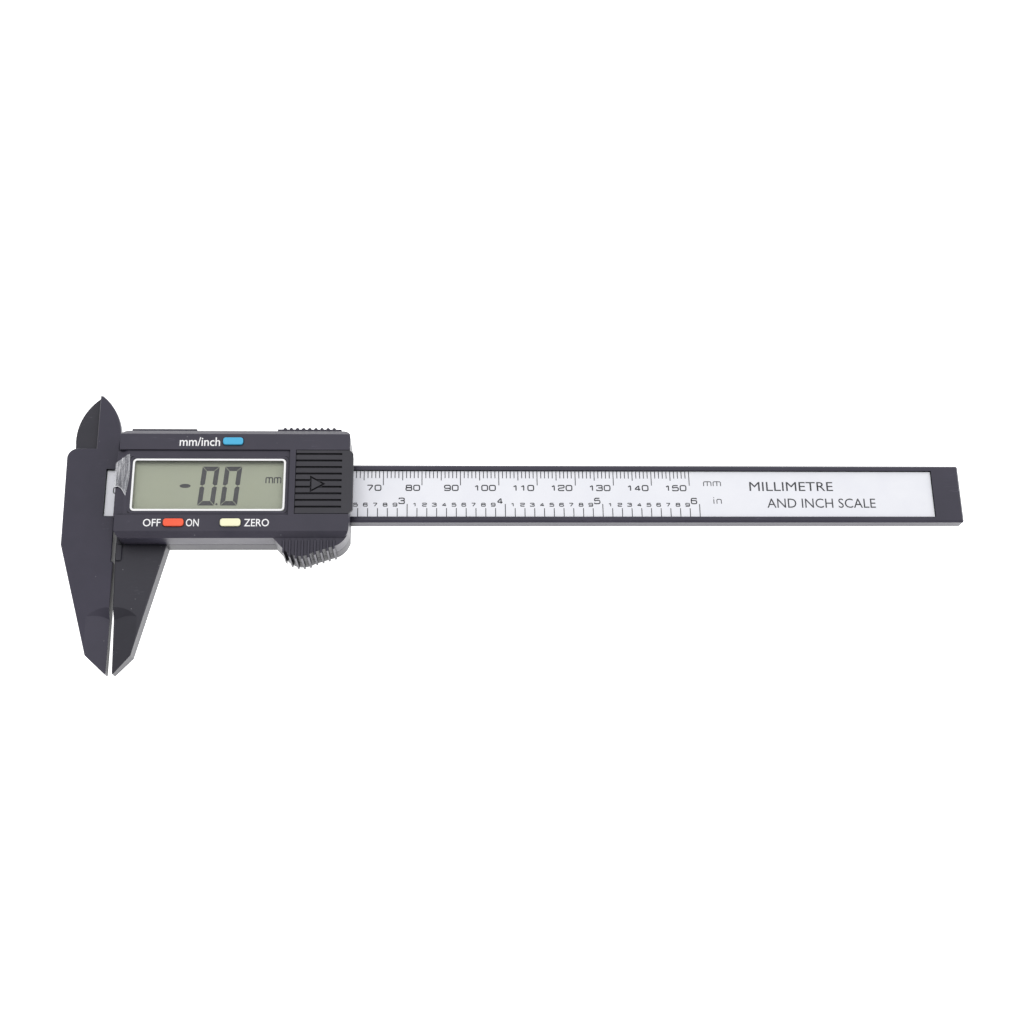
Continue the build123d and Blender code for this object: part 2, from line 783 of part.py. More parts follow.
with BuildPart() as capacitors:
    with BuildSketch(level(board_top)):
        with Locations((window_x + capacitor_offset[0], window_centre + capacitor_offset[1])):
            with GridLocations(capacitor_pitch, 1, capacitor_count, 1):
                Rectangle(capacitor_length, capacitor_width)
    extrude(amount=capacitor_height)
save(capacitors, "capacitors")

with BuildPart() as key_domes:
    discs(button_spots.values(), dome_diameter, board_top, board_top + dome_height)
    fillet(key_domes.faces().group_by(Axis.Z)[-1].edges(), dome_height - dome_wall)
    discs(
        button_spots.values(), dome_diameter - 4 * dome_wall,
        board_top, board_top + dome_height - dome_wall, Mode.SUBTRACT,
    )
save(key_domes, "key_domes")

# ---------------------------------------------------------------- buttons
flange_top = face_under - key_gap / 2
flange_bottom = flange_top - flange_thickness
stem_bottom = board_top + dome_height + button_travel + key_gap


def button(name):
    """One push button: a domed cap through the face, a flange under it and a stem."""
    with BuildPart() as key:
        with BuildSketch(level(flange_bottom)):
            with Locations(button_spots[name]):
                RectangleRounded(button_length, button_height, button_corner)
        extrude(amount=face + button_proud - flange_bottom)
        fillet(key.faces().sort_by(Axis.Z)[-1].edges(), button_corner / 3)
        with BuildSketch(level(flange_bottom)):
            with Locations(button_spots[name]):
                RectangleRounded(
                    button_length + 2 * button_flange, button_height + 2 * button_flange,
                    button_corner,
                )
        extrude(amount=flange_thickness)
        discs([button_spots[name]], stem_diameter, stem_bottom, flange_bottom)
    return key


for name in button_spots:
    save(button(name), f"button_{name}")

# ---------------------------------------------------------------- battery
with BuildPart() as battery_cell:
    discs(
        [(cell_x, cell_offset)], cell_diameter - 2 * cell_cap_inset,
        cell_bottom, cell_bottom + cell_rim,
    )
    discs(
        [(cell_x, cell_offset)], cell_diameter,
        cell_bottom + cell_rim, cell_bottom + cell_height,
    )
    fillet(battery_cell.faces().sort_by(Axis.Z)[-1].edges(), cell_rim / 2)
save(battery_cell, "battery_cell")

with BuildPart() as battery_contact_negative:
    with BuildSketch(standing(0, cell_offset - contact_offset - contact_width / 2, 0)):
        with BuildLine() as strip:
            floor = parting + well_floor
            step = board_right + contact_thickness
            Polyline(
                (board_right - contact_foot, board_top),
                (board_right - contact_foot, board_top + contact_thickness),
                (step, board_top + contact_thickness),
                (step, floor + contact_thickness),
                (cell_x, floor + contact_thickness),
                (cell_x, floor),
                (board_right, floor),
                (board_right, board_top),
                close=True,
            )
        make_face()
    extrude(amount=-contact_width)
save(battery_contact_negative, "battery_contact_negative")

with BuildPart() as battery_contact_positive:
    reach = contact_offset - contact_width / 2
    touch = cell_x - math.sqrt((cell_diameter / 2) ** 2 - reach**2)
    low = cell_offset + contact_offset - contact_width / 2
    slab(
        board_right - contact_foot, touch, low, low + contact_width,
        board_top, board_top + contact_thickness,
    )
    slab(
        touch - contact_thickness, touch, low, low + contact_width,
        board_top, leaf_top,
    )
save(battery_contact_positive, "battery_contact_positive")

with BuildPart() as battery_cover:
    door_end = slider_right + door_lip
    with BuildSketch(level(door_bottom)):
        box_sketch(door_left + door_gap, slider_right, door_low, door_high)
        with Locations((slider_right, cell_offset)):
            Trapezoid(
                door_width, door_lip, 45, rotation=-90, align=(Align.CENTER, Align.MIN),
            )
    extrude(amount=door_thickness)
    slab(
        door_left + door_gap, slider_right, door_low - tongue, door_high + tongue,
        door_bottom, door_bottom + tongue_thickness,
    )
    slab(
        slider_right + door_gap, door_end, door_low + door_lip_chamfer,
        door_high - door_lip_chamfer, face - door_lip_height, face,
    )
    # grooves for the thumb, and an arrow standing in a moat
    groove_middle = cell_offset + groove_offset
    with BuildSketch(level(face)):
        with Locations(((door_left + groove_start + slider_right - groove_end) / 2, groove_middle)):
            with GridLocations(1, groove_pitch, 1, groove_count):
                Rectangle(door_length - groove_start - groove_end, groove_width)
        with Locations((door_left + door_length * arrow_middle, groove_middle - arrow_drop)):
            RegularPolygon(arrow_radius + 2 * arrow_rim, 3)
            RegularPolygon(arrow_radius, 3, mode=Mode.SUBTRACT)
    extrude(amount=-groove_depth, mode=Mode.SUBTRACT)
save(battery_cover, "battery_cover")

# ---------------------------------------------------------------- small parts of the slider
with BuildPart() as gib_spring:
    inner = beam_half + slide_gap / 3
    outer = channel_half + gib_pocket - slide_gap / 3
    left = slider_x - gib_length / 2 + 4 * slide_gap
    right = slider_x + gib_length / 2 - 4 * slide_gap
    with BuildSketch(level((beam_bottom + beam_front - gib_height) / 2)):
        with BuildLine():
            ThreePointArc((left, outer - gib_thickness), (slider_x, inner), (right, outer - gib_thickness))
            Line((right, outer - gib_thickness), (right, outer))
            ThreePointArc((right, outer), (slider_x, inner + gib_thickness), (left, outer))
            Line((left, outer), (left, outer - gib_thickness))
        make_face()
    extrude(amount=gib_height)
save(gib_spring, "gib_spring")

with BuildPart() as depth_rod:
    slab(
        rod_start, beam_end, -rod_width / 2, rod_width / 2, rod_bottom, rod_bottom + rod_thickness,
    )
    chamfer(
        depth_rod.faces().sort_by(Axis.X)[-1].edges().filter_by(Axis.Z).sort_by(Axis.Y)[-1],
        rod_width / 3,
    )
    discs(
        [(rod_screw_x, 0)], board_screw_diameter + 2 * screw_gap,
        rod_bottom, rod_bottom + rod_thickness, Mode.SUBTRACT,
    )
save(depth_rod, "depth_rod")


def screws(spots, size, head, head_height, seat, tip):
    """Pan-head screws at each spot, heads downwards: seat is the underside of the head."""
    with BuildPart() as group:
        discs(spots, head, seat - head_height, seat)
        discs(spots, size, seat, tip)
        with BuildSketch(level(seat - head_height)):
            with Locations(*spots):
                Rectangle(head * slot_share, slot_width)
        extrude(amount=slot_depth, mode=Mode.SUBTRACT)
    return group


housing_seat = screw_sink + screw_head_height
save(
    screws(screw_spots, screw_diameter, screw_head, screw_head_height, housing_seat, screw_top),
    "housing_screws",
)
save(
    screws(
        board_screw_spots, board_screw_diameter, board_screw_head, board_screw_head_height,
        parting, screw_top,
    ),
    "board_screws",
)
save(
    screws(
        [(rod_screw_x, 0)], board_screw_diameter, board_screw_head, board_screw_head_height,
        screw_sink + board_screw_head_height, rod_bottom + rod_thickness,
    ),
    "rod_screw",
)
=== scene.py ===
"""Digital caliper: finishes, printing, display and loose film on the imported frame.

Lengths are in metres and MM turns millimetres into them. The caliper lies on its back:
X runs along the beam, +Y towards the inside blades, +Z out of the display.
"""
import math

import bpy
import numpy as np
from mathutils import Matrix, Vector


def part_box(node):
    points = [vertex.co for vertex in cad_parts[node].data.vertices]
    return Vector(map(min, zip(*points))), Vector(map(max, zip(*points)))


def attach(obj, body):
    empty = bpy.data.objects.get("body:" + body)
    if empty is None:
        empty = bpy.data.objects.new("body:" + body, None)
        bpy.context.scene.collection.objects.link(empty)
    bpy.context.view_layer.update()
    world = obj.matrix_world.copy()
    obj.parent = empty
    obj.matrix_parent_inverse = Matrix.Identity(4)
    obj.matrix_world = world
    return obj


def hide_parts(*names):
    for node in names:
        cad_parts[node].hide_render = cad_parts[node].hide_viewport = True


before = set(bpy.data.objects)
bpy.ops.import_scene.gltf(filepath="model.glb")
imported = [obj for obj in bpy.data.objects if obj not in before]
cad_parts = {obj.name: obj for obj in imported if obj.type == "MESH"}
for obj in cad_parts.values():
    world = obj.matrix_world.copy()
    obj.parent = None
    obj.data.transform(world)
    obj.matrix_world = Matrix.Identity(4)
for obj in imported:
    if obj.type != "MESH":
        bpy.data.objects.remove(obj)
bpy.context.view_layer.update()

MM = 0.001

# ------------------------------------------------------------------ places on the frame


def corners(node):
    """Lowest and highest corner of a node, as arrays."""
    low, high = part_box(node)
    return np.array(low), np.array(high)


LABEL_LOW, LABEL_HIGH = corners("scale_label")
LENS_LOW, LENS_HIGH = corners("display_window")
UNIT_LOW, UNIT_HIGH = corners("button_unit")
POWER_LOW, POWER_HIGH = corners("button_power")
ZERO_HIGH = corners("button_zero")[1]
GLASS_TOP = corners("lcd_front_glass")[1][2]

CENTRE_Y = (LABEL_LOW[1] + LABEL_HIGH[1]) / 2
LABEL_TOP = LABEL_HIGH[2]
MEASURE_X = LABEL_LOW[0] + 3.48 * MM        # measuring plane of the jaws
SCALE_ZERO = MEASURE_X - 2.6 * MM           # the zero of both scales
LENS_TOP = LENS_HIGH[2]
BUTTON_PROUD = 0.5 * MM
FACE = UNIT_HIGH[2] - BUTTON_PROUD          # front face of the cover
PRINT = 0.015 * MM                          # thickness of printed ink
LENS_RIM = 0.7 * MM                         # lens beyond the window, each side
CAP_FLANGE = 0.45 * MM                      # flange of a button beyond its cap, each side

# ------------------------------------------------------------------ mesh helpers


def piece(name, points, faces, material, body, slot):
    """A mesh object from an array of points and a list of faces, riding on a body."""
    mesh = bpy.data.meshes.new(name)
    mesh.from_pydata(np.asarray(points).tolist(), [], [list(map(int, f)) for f in faces])
    mesh.update()
    thing = bpy.data.objects.new(name, mesh)
    bpy.context.scene.collection.objects.link(thing)
    thing.data.materials.append(material)
    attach(thing, body)
    return thing


def joined(parts):
    """Several (points, faces) pairs as one pair, with the faces counted on."""
    points, faces, count = [], [], 0
    for part_points, part_faces in parts:
        points.append(np.asarray(part_points))
        faces.extend([[index + count for index in face] for face in part_faces])
        count += len(part_points)
    return np.concatenate(points), faces


def grid_faces(rows, columns, wrap_rows=False, wrap_columns=False):
    """Quads between neighbours of a rows by columns grid of points, row after row."""
    index = np.arange(rows * columns).reshape(rows, columns)
    if wrap_rows:
        index = np.vstack([index, index[:1]])
    if wrap_columns:
        index = np.hstack([index, index[:, :1]])
    quads = np.stack([index[:-1, :-1], index[:-1, 1:], index[1:, 1:], index[1:, :-1]], axis=-1)
    return quads.reshape(-1, 4).tolist()


def plate(outline, low, high):
    """A flat closed plate: the outline, counter-clockwise, at height low and at height high."""
    outline = np.asarray(outline, dtype=float)
    count = len(outline)
    ring = np.arange(count)
    points = np.vstack([
        np.column_stack([outline, np.full(count, low)]),
        np.column_stack([outline, np.full(count, high)]),
    ])
    following = np.roll(ring, -1)
    sides = np.column_stack([ring, following, following + count, ring + count]).tolist()
    return points, [ring[::-1].tolist(), (ring + count).tolist()] + sides


def rounded(path, radius, closed=False, steps=4):
    """A path with its corners rounded: each corner becomes an arc of at most the radius.

    The arc starts and ends at the same distance from the corner, at most 0.45 of the
    shorter side, and its points come from the quadratic curve through those three points.
    """
    path = np.asarray(path, dtype=float)
    count = len(path)
    result = []
    for i in range(count):
        here = path[i]
        if not closed and i in (0, count - 1):
            result.append(here)
            continue
        before, after = path[i - 1] - here, path[(i + 1) % count] - here
        reach = min(radius, 0.45 * np.linalg.norm(before), 0.45 * np.linalg.norm(after))
        start = here + before / np.linalg.norm(before) * reach
        end = here + after / np.linalg.norm(after) * reach
        for t in np.linspace(0, 1, steps + 1):
            result.append((1 - t) ** 2 * start + 2 * t * (1 - t) * here + t**2 * end)
    return np.array(result)


def stroke(path, width, low, high, closed=False):
    """A stroke of ink: a rectangle of the width, from low to high, carried along a flat path.

    Each point is moved sideways by half the width, divided by the cosine of half the
    turn there, so that the stroke keeps its width round corners.
    """
    path = np.asarray(path, dtype=float)
    step = np.diff(np.vstack([path, path[:1]]) if closed else path, axis=0)
    step /= np.linalg.norm(step, axis=1)[:, None]
    before = np.vstack([step[-1:], step[:-1]]) if closed else np.vstack([step[:1], step])
    after = step if closed else np.vstack([step, step[-1:]])
    along = before + after
    along /= np.linalg.norm(along, axis=1)[:, None]
    side = np.column_stack([-along[:, 1], along[:, 0]])
    half = width / 2 / np.maximum(np.sum(along * after, axis=1), 0.5)[:, None]
    left, right = path + side * half, path - side * half
    flat = np.stack([right, left, left, right], axis=1)
    height = np.broadcast_to(np.array([low, low, high, high]), flat.shape[:2])[..., None]
    points = np.concatenate([flat, height], axis=2).reshape(-1, 3)
    faces = grid_faces(len(path), 4, wrap_rows=closed, wrap_columns=True)
    faces = [face[::-1] for face in faces]
    if not closed:
        last = len(points) - 4
        faces += [[0, 1, 2, 3], [last + 3, last + 2, last + 1, last]]
    return points, faces


def lettering(words, left, right, bottom, top, low, bold=0.0):
    """Flat letters from the built-in face, stretched to a box, as (points, faces)."""
    curve = bpy.data.curves.new("letters", "FONT")
    curve.body = words
    curve.offset = bold
    curve.extrude = 0.01
    curve.resolution_u = 3
    source = bpy.data.objects.new("letters", curve)
    bpy.context.scene.collection.objects.link(source)
    mesh = bpy.data.meshes.new_from_object(source.evaluated_get(bpy.context.evaluated_depsgraph_get()))
    points = np.empty(len(mesh.vertices) * 3)
    mesh.vertices.foreach_get("co", points)
    points = points.reshape(-1, 3)
    faces = [list(face.vertices) for face in mesh.polygons]
    bpy.data.objects.remove(source)
    bpy.data.curves.remove(curve)
    bpy.data.meshes.remove(mesh)
    first, last = points.min(axis=0), points.max(axis=0)
    share = (points - first) / (last - first)
    size = np.array([right - left, top - bottom, PRINT])
    return np.array([left, bottom, low]) + share * size, faces


# ------------------------------------------------------------------ node helpers


def new_group(name, inputs, outputs):
    """An empty shader node group: inputs are (name, value), outputs are (name, type)."""
    group = bpy.data.node_groups.new(name, "ShaderNodeTree")
    for label, value in inputs:
        socket = group.interface.new_socket(label, in_out="INPUT", socket_type="NodeSocketFloat")
        socket.default_value = value
    for label, kind in outputs:
        group.interface.new_socket(label, in_out="OUTPUT", socket_type=kind)
    return group, Net(group)


class Net:
    """Short ways to add and join nodes in one tree."""

    def __init__(self, tree):
        self.tree = tree

    def add(self, kind, settings=(), **values):
        """A node of a kind, its settings, and its input sockets by name or number."""
        node = self.tree.nodes.new(kind)
        for key, value in dict(settings).items():
            setattr(node, key, value)
        for key, value in values.items():
            index = int(key[1:]) if key[0] == "_" else key.replace("_", " ")
            self.feed(node.inputs[index], value)
        return node

    def feed(self, socket, value):
        """Joins a socket to a node's output, or sets its value."""
        if isinstance(value, bpy.types.NodeSocket):
            self.tree.links.new(value, socket)
        else:
            socket.default_value = value

    def math(self, operation, first, second=0.0):
        """One operation of arithmetic on two values, each a number or a socket."""
        return self.add("ShaderNodeMath", {"operation": operation}, _0=first, _1=second).outputs[0]

    def noise(self, place, scale, detail=2.0, roughness=0.5):
        """Cloudy noise from 0 to 1, mostly near 0.5."""
        node = self.add("ShaderNodeTexNoise", Vector=place, Scale=scale, Detail=detail, Roughness=roughness)
        return node.outputs["Fac"]

    def spread(self, value, low, high, new_low, new_high):
        """A value mapped from one range to another, clamped."""
        node = self.add(
            "ShaderNodeMapRange", {"clamp": True}, Value=value,
            From_Min=low, From_Max=high, To_Min=new_low, To_Max=new_high,
        )
        return node.outputs["Result"]

    def blend(self, factor, first, second):
        """A colour between two: the first at 0 and the second at 1."""
        node = self.add("ShaderNodeMix", {"data_type": "RGBA"}, _0=factor, _6=first, _7=second)
        return node.outputs[2]

    def place(self, stretch=(1, 1, 1)):
        """The object's own coordinates, stretched."""
        source = self.add("ShaderNodeTexCoord").outputs["Object"]
        return self.add("ShaderNodeMapping", Vector=source, Scale=stretch).outputs[0]


def rgb(red, green, blue):
    """A colour given as eight-bit screen values, made linear."""
    screen = np.array([red, green, blue]) / 255
    linear = np.where(screen <= 0.04045, screen / 12.92, ((screen + 0.055) / 1.055) ** 2.4)
    return (*linear.tolist(), 1.0)


def make_moulded_grain():
    """Spark-eroded grain of a moulding: fine noise under a coarser, fainter one.

    Height is for a bump node and Mottle, 0 to 1, for slow changes of shade.
    """
    group, net = new_group(
        "moulded_grain", [("Grain", 2600.0), ("Cloud", 90.0)],
        [("Height", "NodeSocketFloat"), ("Mottle", "NodeSocketFloat")],
    )
    given = net.add("NodeGroupInput")
    place = net.place()
    fine = net.noise(place, given.outputs["Grain"], 3.0, 0.6)
    coarse = net.noise(place, net.math("MULTIPLY", given.outputs["Grain"], 0.22), 2.0)
    height = net.math("ADD", fine, net.math("MULTIPLY", coarse, 0.5))
    cloud = net.noise(place, given.outputs["Cloud"], 3.0, 0.6)
    net.add("NodeGroupOutput", Height=height, Mottle=net.spread(cloud, 0.3, 0.7, 0.0, 1.0))
    return group


def make_edges():
    """Softened edges: a normal rounded near sharp edges, and a mask of where it turns away."""
    group, net = new_group(
        "soft_edges", [("Radius", 0.12 * MM)],
        [("Normal", "NodeSocketVector"), ("Edge", "NodeSocketFloat")],
    )
    given = net.add("NodeGroupInput")
    bevel = net.add("ShaderNodeBevel", {"samples": 6}, Radius=given.outputs["Radius"]).outputs[0]
    flat = net.add("ShaderNodeNewGeometry").outputs["Normal"]
    along = net.add("ShaderNodeVectorMath", {"operation": "DOT_PRODUCT"}, _0=bevel, _1=flat).outputs["Value"]
    net.add("NodeGroupOutput", Normal=bevel, Edge=net.spread(along, 0.75, 0.98, 1.0, 0.0))
    return group


def make_crevices():
    """Painted shade: a mask from ambient occlusion, 1 in the open and falling towards 0 in grooves, seams
    and narrow gaps.
    """
    group, net = new_group("crevices", [("Reach", 1.4 * MM)], [("Open", "NodeSocketFloat")])
    given = net.add("NodeGroupInput")
    light = net.add("ShaderNodeAmbientOcclusion", {"samples": 8}, Distance=given.outputs["Reach"])
    net.add("NodeGroupOutput", Open=net.spread(light.outputs["AO"], 0.42, 0.9, 0.12, 1.0))
    return group


def make_scuffs():
    """Hairline scratches and dust specks, as masks from 0 to 1.

    A scratch is where stretched noise comes close to its middle value and a slower noise
    allows it. A speck is the core of a sparse cell.
    """
    group, net = new_group(
        "scuffs", [("Scratches", 1.0), ("Dust", 1.0)],
        [("Scratch", "NodeSocketFloat"), ("Speck", "NodeSocketFloat")],
    )
    given = net.add("NodeGroupInput")
    lines = []
    for turn, stretch in ((0.5, (60, 900, 60)), (-1.1, (50, 1100, 50))):
        source = net.add("ShaderNodeTexCoord").outputs["Object"]
        place = net.add(
            "ShaderNodeMapping", Vector=source, Rotation=(0, 0, turn), Scale=stretch,
        ).outputs[0]
        ridge = net.math("ABSOLUTE", net.math("SUBTRACT", net.noise(place, 1.0, 1.0), 0.5))
        lines.append(net.spread(ridge, 0.0, 0.008, 1.0, 0.0))
    either = net.math("MAXIMUM", lines[0], lines[1])
    allowed = net.spread(net.noise(net.place(), 140.0, 2.0), 0.6, 0.68, 0.0, 1.0)
    scratch = net.math("MULTIPLY", net.math("MULTIPLY", either, allowed), given.outputs["Scratches"])
    cells = net.add("ShaderNodeTexVoronoi", Vector=net.place(), Scale=700.0)
    near = net.spread(cells.outputs["Distance"], 0.04, 0.1, 1.0, 0.0)
    chance = net.spread(net.noise(net.place(), 330.0, 1.0), 0.62, 0.66, 0.0, 1.0)
    speck = net.math("MULTIPLY", net.math("MULTIPLY", near, chance), given.outputs["Dust"])
    net.add("NodeGroupOutput", Scratch=scratch, Speck=speck)
    return group


GRAIN = make_moulded_grain()
SCUFFS = make_scuffs()
EDGES = make_edges()
CREVICE_SHADE = make_crevices()


def new_material(name):
    """A material with its Principled shader, as (material, net, shader)."""
    material = bpy.data.materials.new(name)
    material.use_nodes = True
    net = Net(material.node_tree)
    return material, net, material.node_tree.nodes["Principled BSDF"]


def use_group(net, group, **values):
    return net.add("ShaderNodeGroup", {"node_tree": group}, **values)


def moulded_plastic(
    name, colour, pale, roughness, grain=2600.0, depth=0.012, scratches=1.0, edge_rub_and_highlight=0.35, reach=1.4,
):
    """A moulding: two close shades in slow clouds, fine grain, hairline scratches and dust.

    Its edges are softened, and paler in patches, partly rubbed and partly a painted highlight; painted shade
    darkens its colour and its reflection in crevices.
    The grain's depth and the crevices' reach are in millimetres.
    """
    material, net, shader = new_material(name)
    surface = use_group(net, GRAIN, Grain=grain)
    marks = use_group(net, SCUFFS, Scratches=scratches, Dust=scratches)
    edges = use_group(net, EDGES, Radius=0.12 * MM)
    # Paler colour for scratches and rubbed edges, and for a painted highlight along the edges.
    rubbed_and_highlight_colour = tuple(min(1.0, 2.2 * value + 0.04) for value in colour[:3]) + (1.0,)
    shade = net.blend(surface.outputs["Mottle"], colour, pale)
    patchy = net.spread(net.noise(net.place(), 900.0, 2.0), 0.4, 0.65, 0.2, edge_rub_and_highlight)
    # Edges paler in patches: partly rubbed, partly a painted highlight.
    shade = net.blend(net.math("MULTIPLY", edges.outputs["Edge"], patchy), shade, rubbed_and_highlight_colour)
    shade = net.blend(net.math("MULTIPLY", marks.outputs["Scratch"], 0.5), shade, rubbed_and_highlight_colour)
    shade = net.blend(net.math("MULTIPLY", marks.outputs["Speck"], 0.6), shade, rgb(170, 170, 175))
    # Painted shade: ambient occlusion darkens the colour towards a quarter of itself, and weakens the
    # reflection, in grooves, seams and gaps.
    clear = use_group(net, CREVICE_SHADE, Reach=reach * MM).outputs["Open"]
    dark = tuple(0.25 * value for value in colour[:3]) + (1.0,)
    net.feed(shader.inputs["Base Color"], net.blend(clear, dark, shade))
    net.feed(shader.inputs["Specular IOR Level"], net.math("MULTIPLY", clear, 0.5))
    rough = net.spread(surface.outputs["Mottle"], 0.0, 1.0, roughness - 0.04, roughness + 0.04)
    rough = net.math("ADD", rough, net.math("MULTIPLY", marks.outputs["Scratch"], 0.1))
    net.feed(shader.inputs["Roughness"], rough)
    bump = net.add(
        "ShaderNodeBump", Strength=0.6, Distance=depth * MM,
        Height=surface.outputs["Height"], Normal=edges.outputs["Normal"],
    )
    net.feed(shader.inputs["Normal"], bump.outputs[0])
    return material


def button_plastic(name, colour, pale):
    """A button's cap: coarser, flatter grain than the mouldings, without scratches or dust."""
    return moulded_plastic(name, colour, pale, 0.35, grain=2000, depth=0.005, scratches=0.0, edge_rub_and_highlight=0.2)


def satin_print(name, colour, pale, roughness):
    """Printed sheet or ink: nearly flat, with a faint tooth and slow changes of shade."""
    material, net, shader = new_material(name)
    surface = use_group(net, GRAIN, Grain=5200.0, Cloud=160.0)
    net.feed(shader.inputs["Base Color"], net.blend(surface.outputs["Mottle"], colour, pale))
    net.feed(
        shader.inputs["Roughness"],
        net.spread(surface.outputs["Mottle"], 0.0, 1.0, roughness, roughness + 0.08),
    )
    bump = net.add("ShaderNodeBump", Strength=0.25, Distance=0.004 * MM, Height=surface.outputs["Height"])
    net.feed(shader.inputs["Normal"], bump.outputs[0])
    return material


def drawn_metal(name, colour, dark, roughness):
    """Bright metal with fine lines along X: stretched noise in its roughness and bump."""
    material, net, shader = new_material(name)
    lines = net.noise(net.place((40, 1800, 1800)), 1.0, 2.0, 0.6)
    net.feed(shader.inputs["Base Color"], net.blend(net.spread(lines, 0.3, 0.7, 0.0, 1.0), dark, colour))
    net.feed(shader.inputs["Roughness"], net.spread(lines, 0.3, 0.7, roughness, roughness + 0.15))
    bump = net.add("ShaderNodeBump", Strength=0.3, Distance=0.003 * MM, Height=lines)
    net.feed(shader.inputs["Normal"], bump.outputs[0])
    shader.inputs["Metallic"].default_value = 1.0
    return material


def clear_sheet(name, colour, thin, thick, roughness):
    """Clear plastic seen through: mostly see-through, cloudier where slow noise is high."""
    material, net, shader = new_material(name)
    cloud = net.noise(net.place(), 260.0, 3.0, 0.6)
    net.feed(shader.inputs["Base Color"], net.blend(cloud, colour, rgb(225, 228, 235)))
    net.feed(shader.inputs["Alpha"], net.spread(cloud, 0.35, 0.75, thin, thick))
    net.feed(shader.inputs["Roughness"], net.spread(cloud, 0.3, 0.7, roughness, roughness + 0.08))
    return material


def peeled_film(name):
    """Clear film that has been creased: milky, with pale streaks across the crease and bright rims, both
    painted highlights.

    The piece's own attribute "rim", 0 to 1, says where the film turns over at its edge.
    """
    material, net, shader = new_material(name)
    rim_highlight = net.add("ShaderNodeAttribute", {"attribute_name": "rim_highlight"}).outputs["Fac"]
    streak = net.noise(net.place((2600, 220, 300)), 1.0, 3.0, 0.65)
    # Paler, more opaque streaks and edges: painted highlights.
    pale = net.math("MAXIMUM", net.spread(streak, 0.45, 0.75, 0.0, 1.0), rim_highlight)
    net.feed(shader.inputs["Base Color"], net.blend(pale, rgb(205, 206, 214), rgb(252, 252, 255)))
    milky = net.math("MAXIMUM", net.spread(streak, 0.35, 0.75, 0.12, 0.5), net.math("MULTIPLY", rim_highlight, 0.75))
    net.feed(shader.inputs["Alpha"], milky)
    net.feed(shader.inputs["Roughness"], net.spread(streak, 0.3, 0.7, 0.12, 0.3))
    bump = net.add("ShaderNodeBump", Strength=0.4, Distance=0.03 * MM, Height=streak)
    net.feed(shader.inputs["Normal"], bump.outputs[0])
    return material


def display_backing(name):
    """Satin green-grey with the fine grain of the reflector foil.

    It darkens towards the window's upper edge over 1.7 mm, and towards the left edge
    over 0.9 mm, as in the shade of those edges.
    """
    material, net, shader = new_material(name)
    surface = use_group(net, GRAIN, Grain=4200.0, Cloud=45.0)
    shade = net.blend(surface.outputs["Mottle"], rgb(160, 165, 145), rgb(165, 170, 151))
    at = net.add("ShaderNodeSeparateXYZ", Vector=net.add("ShaderNodeTexCoord").outputs["Object"])
    top, left = LENS_HIGH[1] - LENS_RIM, LENS_LOW[0] + LENS_RIM
    above = net.spread(at.outputs["Y"], top - 1.7 * MM, top, 0.0, 0.75)
    beside = net.spread(at.outputs["X"], left + 0.9 * MM, left, 0.0, 0.5)
    shadow = net.math("MAXIMUM", above, beside)
    net.feed(shader.inputs["Base Color"], net.blend(shadow, shade, rgb(92, 94, 90)))
    net.feed(shader.inputs["Roughness"], net.spread(surface.outputs["Mottle"], 0.0, 1.0, 0.45, 0.55))
    bump = net.add("ShaderNodeBump", Strength=0.3, Distance=0.004 * MM, Height=surface.outputs["Height"])
    net.feed(shader.inputs["Normal"], bump.outputs[0])
    return material


# ------------------------------------------------------------------ materials

BODY = moulded_plastic("body_plastic", rgb(55, 53, 66), rgb(61, 58, 71), 0.34)
FRAME = moulded_plastic("frame_plastic", rgb(46, 45, 54), rgb(52, 51, 60), 0.38)
# The beam's painted crevice shade reaches 3 mm.
BEAM = moulded_plastic("beam_plastic", rgb(51, 49, 63), rgb(58, 55, 70), 0.33, reach=3.0)
DOOR = moulded_plastic("door_plastic", rgb(50, 49, 56), rgb(56, 55, 62), 0.36)
ROD = moulded_plastic("rod_plastic", rgb(38, 38, 43), rgb(44, 44, 49), 0.36)
RED = button_plastic("button_red", rgb(250, 94, 62), rgb(253, 104, 72))
YELLOW = button_plastic("button_yellow", rgb(255, 252, 212), rgb(255, 254, 220))
BLUE = button_plastic("button_blue", rgb(72, 178, 222), rgb(80, 184, 227))
PAPER = satin_print("scale_paper", rgb(238, 239, 246), rgb(242, 243, 249), 0.35)
INK = satin_print("scale_ink", rgb(58, 59, 64), rgb(70, 71, 76), 0.5)
WHITE_INK = satin_print("white_ink", rgb(250, 250, 251), rgb(253, 253, 254), 0.4)
BOARD = moulded_plastic(
    "board_green", rgb(20, 92, 52), rgb(26, 104, 60), 0.4, grain=1500, depth=0.01, scratches=0.0,
)
RUBBER = satin_print("zebra_rubber", rgb(190, 150, 158), rgb(204, 168, 174), 0.7)
POTTING = satin_print("potting", rgb(22, 22, 24), rgb(30, 30, 32), 0.25)
CERAMIC = satin_print("ceramic", rgb(168, 140, 112), rgb(180, 150, 120), 0.6)
STEEL = drawn_metal("cell_steel", rgb(214, 214, 218), rgb(190, 190, 196), 0.22)
TIN = drawn_metal("tin_plate", rgb(200, 200, 205), rgb(176, 176, 182), 0.3)
BRONZE = drawn_metal("spring_bronze", rgb(205, 160, 98), rgb(186, 140, 80), 0.3)
ZINC = drawn_metal("screw_zinc", rgb(150, 150, 156), rgb(120, 120, 126), 0.35)
LENS = clear_sheet("lens_clear", rgb(235, 238, 238), 0.015, 0.03, 0.04)
FILM = peeled_film("film_clear")
BACKING = display_backing("display_backing")
SEGMENT = satin_print("segment_dark", rgb(66, 66, 68), rgb(74, 74, 76), 0.5)

